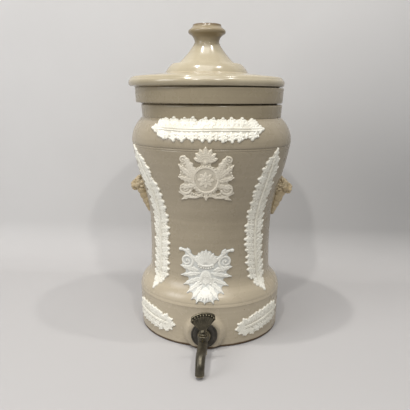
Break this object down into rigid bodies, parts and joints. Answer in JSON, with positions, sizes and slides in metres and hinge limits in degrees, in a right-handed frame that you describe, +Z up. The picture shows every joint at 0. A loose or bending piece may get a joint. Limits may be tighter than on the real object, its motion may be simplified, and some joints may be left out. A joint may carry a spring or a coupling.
{
  "type": "stoneware water filter jar with tap",
  "caption": "Lidded stoneware water jar with a drop-in filter pot, white relief ornament, side lugs and a brass plug tap near the foot.",
  "frame": {"origin": "centre of the flat foot, on the surface that the jar stands on", "axes": "+Z up along the jar's axis, the tap points to -Y, +X to the right of someone who faces the tap"},
  "size_m": [0.2282, 0.2854, 0.41],
  "materials": {
    "stoneware": "glossy clear salt glaze over taupe clay",
    "lid_glaze": "glossy cream buff glaze",
    "relief_clay": "matt white clay",
    "lug_clay": "glossy brown tinged glaze",
    "plain_clay": "unglazed",
    "carbon": "pressed charcoal, matt",
    "old_brass": "dark patina, worn bright on edges",
    "washer_rubber": "matt black"
  },
  "bodies": {
    "base": {"jar": "stoneware", "jar_base": "stoneware", "lug_left": "lug_clay", "lug_right": "lug_clay", "garland_top": "relief_clay", "garland_left": "relief_clay", "garland_right": "relief_clay", "panel_upper": "relief_clay", "panel_lower": "relief_clay", "leaf_spray_left": "relief_clay", "leaf_spray_right": "relief_clay", "tap_body": "old_brass", "tap_flange": "old_brass", "tap_outer_washer": "washer_rubber", "tap_inner_washer": "washer_rubber", "tap_backnut": "old_brass"},
    "filter": {"filter_pot": "stoneware", "carbon_block": "carbon"},
    "strainer": {"strainer_plate": "plain_clay"},
    "lid": {"lid": "lid_glaze"},
    "plug": {"tap_plug": "old_brass", "plug_washer": "old_brass", "plug_nut": "old_brass"}
  },
  "joints": [
    {"name": "filter_pot_lift", "type": "slide", "parent": "base", "child": "filter", "axis": [0, 0, 1], "range_m": [0, 0.13]},
    {"name": "strainer_lift", "type": "slide", "parent": "filter", "child": "strainer", "axis": [0, 0, 1], "range_m": [0, 0.05]},
    {"name": "lid_lift", "type": "slide", "parent": "filter", "child": "lid", "axis": [0, 0, 1], "range_m": [0, 0.15]},
    {"name": "tap_key_turn", "type": "hinge", "parent": "base", "child": "plug", "pos_m": [0, -0.1253, 0.021], "axis": [0, 0, 1], "continuous": true}
  ]
}
